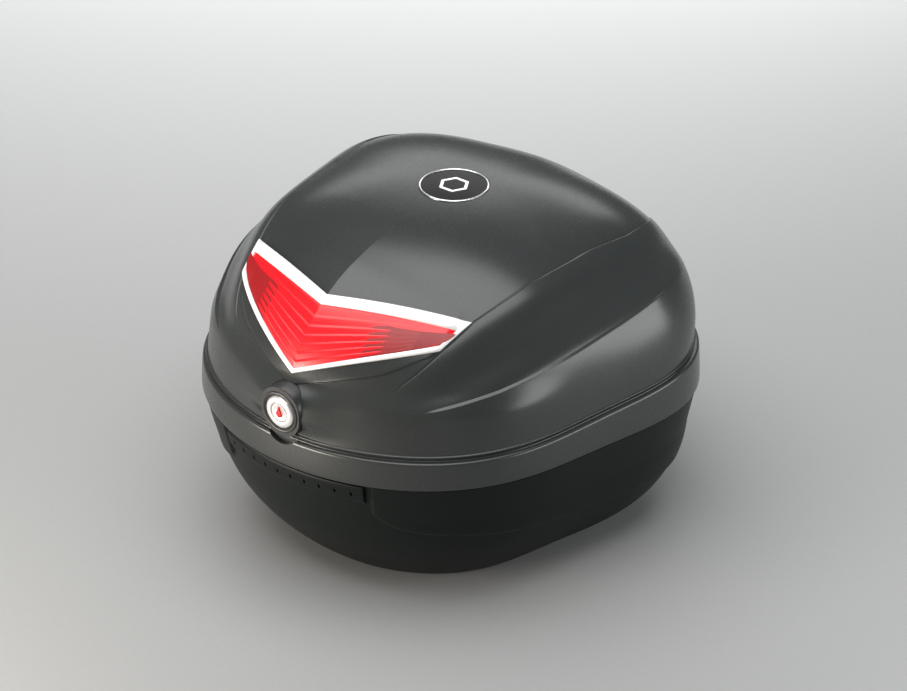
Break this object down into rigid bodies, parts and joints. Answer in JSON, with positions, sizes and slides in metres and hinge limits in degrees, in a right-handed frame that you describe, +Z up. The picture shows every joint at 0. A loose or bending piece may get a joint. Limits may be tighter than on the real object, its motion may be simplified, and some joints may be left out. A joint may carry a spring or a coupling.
{
  "type": "motorcycle top case",
  "caption": "Domed hard top case with hinged lid, push-button lock and latch hook, red chevron reflector, rubber rim seal and an underside rack plate with sliding bolt.",
  "frame": {"origin": "centre of the bounding box on the plane the feet stand on", "axes": "+Z up, -Y towards the lock side, +Y towards the hinges, X across the case, which is mirror symmetric about x = 0"},
  "size_m": [0.402, 0.422, 0.2926],
  "materials": {
    "lid_shell": "fine satin grain",
    "base_shell": "fine matte grain",
    "front_grip": "matte grain",
    "reflector_frame": "satin chrome",
    "reflector_lens": "glossy ribbed",
    "reflector_backing": "matte",
    "badge_ring": "polished",
    "badge_disc": "gloss",
    "lock_housing": "satin",
    "lock_bezel": "satin",
    "lock_button": "satin",
    "key_plug": "satin",
    "keyhole_cover": "gloss",
    "button_spring": "plain",
    "latch_hook": "zinc plated",
    "latch_pin": "plain",
    "hinge_pin_left": "plain",
    "hinge_pin_right": "plain",
    "rim_seal": "matte",
    "striker": "zinc plated",
    "striker_screw_left": "zinc plated",
    "striker_screw_right": "zinc plated",
    "floor_mat": "matte",
    "rack_plate": "matte",
    "plate_bolt": "zinc plated",
    "bolt_guide": "matte",
    "plate_screw_left_front": "zinc plated",
    "foot_left_front": "matte",
    "plate_screw_left_rear": "zinc plated",
    "foot_left_rear": "matte",
    "plate_screw_right_front": "zinc plated",
    "foot_right_front": "matte",
    "plate_screw_right_rear": "zinc plated",
    "foot_right_rear": "matte"
  },
  "bodies": {
    "base": {"base_shell": "base_shell", "front_grip": "front_grip", "hinge_pin_left": "hinge_pin_left", "hinge_pin_right": "hinge_pin_right", "rim_seal": "rim_seal", "striker": "striker", "striker_screw_left": "striker_screw_left", "striker_screw_right": "striker_screw_right", "floor_mat": "floor_mat", "rack_plate": "rack_plate", "bolt_guide": "bolt_guide", "plate_screw_left_front": "plate_screw_left_front", "foot_left_front": "foot_left_front", "plate_screw_left_rear": "plate_screw_left_rear", "foot_left_rear": "foot_left_rear", "plate_screw_right_front": "plate_screw_right_front", "foot_right_front": "foot_right_front", "plate_screw_right_rear": "plate_screw_right_rear", "foot_right_rear": "foot_right_rear"},
    "lid": {"lid_shell": "lid_shell", "reflector_frame": "reflector_frame", "reflector_lens": "reflector_lens", "reflector_backing": "reflector_backing", "badge_ring": "badge_ring", "badge_disc": "badge_disc", "lock_housing": "lock_housing", "lock_bezel": "lock_bezel", "button_spring": "button_spring", "latch_pin": "latch_pin"},
    "lock_button": {"lock_button": "lock_button"},
    "key_plug": {"key_plug": "key_plug", "keyhole_cover": "keyhole_cover"},
    "latch_hook": {"latch_hook": "latch_hook"},
    "plate_bolt": {"plate_bolt": "plate_bolt"}
  },
  "joints": [
    {"name": "lid_hinge", "type": "hinge", "parent": "base", "child": "lid", "pos_m": [0, 0.2054, 0.1198], "axis": [-1, 0, 0], "range_deg": [0, 80]},
    {"name": "button_push", "type": "slide", "parent": "lid", "child": "lock_button", "axis": [0, 1, 0], "range_m": [0, 0.0035], "stiffness_N_per_m": 900, "springref_m": -0.002, "deforming": ["button_spring"]},
    {"name": "key_turn", "type": "hinge", "parent": "lock_button", "child": "key_plug", "pos_m": [0, -0.2106, 0.1795], "axis": [0, 1, 0], "range_deg": [0, 90]},
    {"name": "latch_swing", "type": "hinge", "parent": "lid", "child": "latch_hook", "pos_m": [0, -0.1823, 0.1545], "axis": [-1, 0, 0], "range_deg": [0, 9]},
    {"name": "bolt_slide", "type": "slide", "parent": "base", "child": "plate_bolt", "axis": [0, -1, 0], "range_m": [0, 0.008], "stiffness_N_per_m": 500, "springref_m": -0.004}
  ],
  "couplings": [
    {"joint": "latch_swing", "follows": "button_push", "rad_per_m": 42}
  ]
}
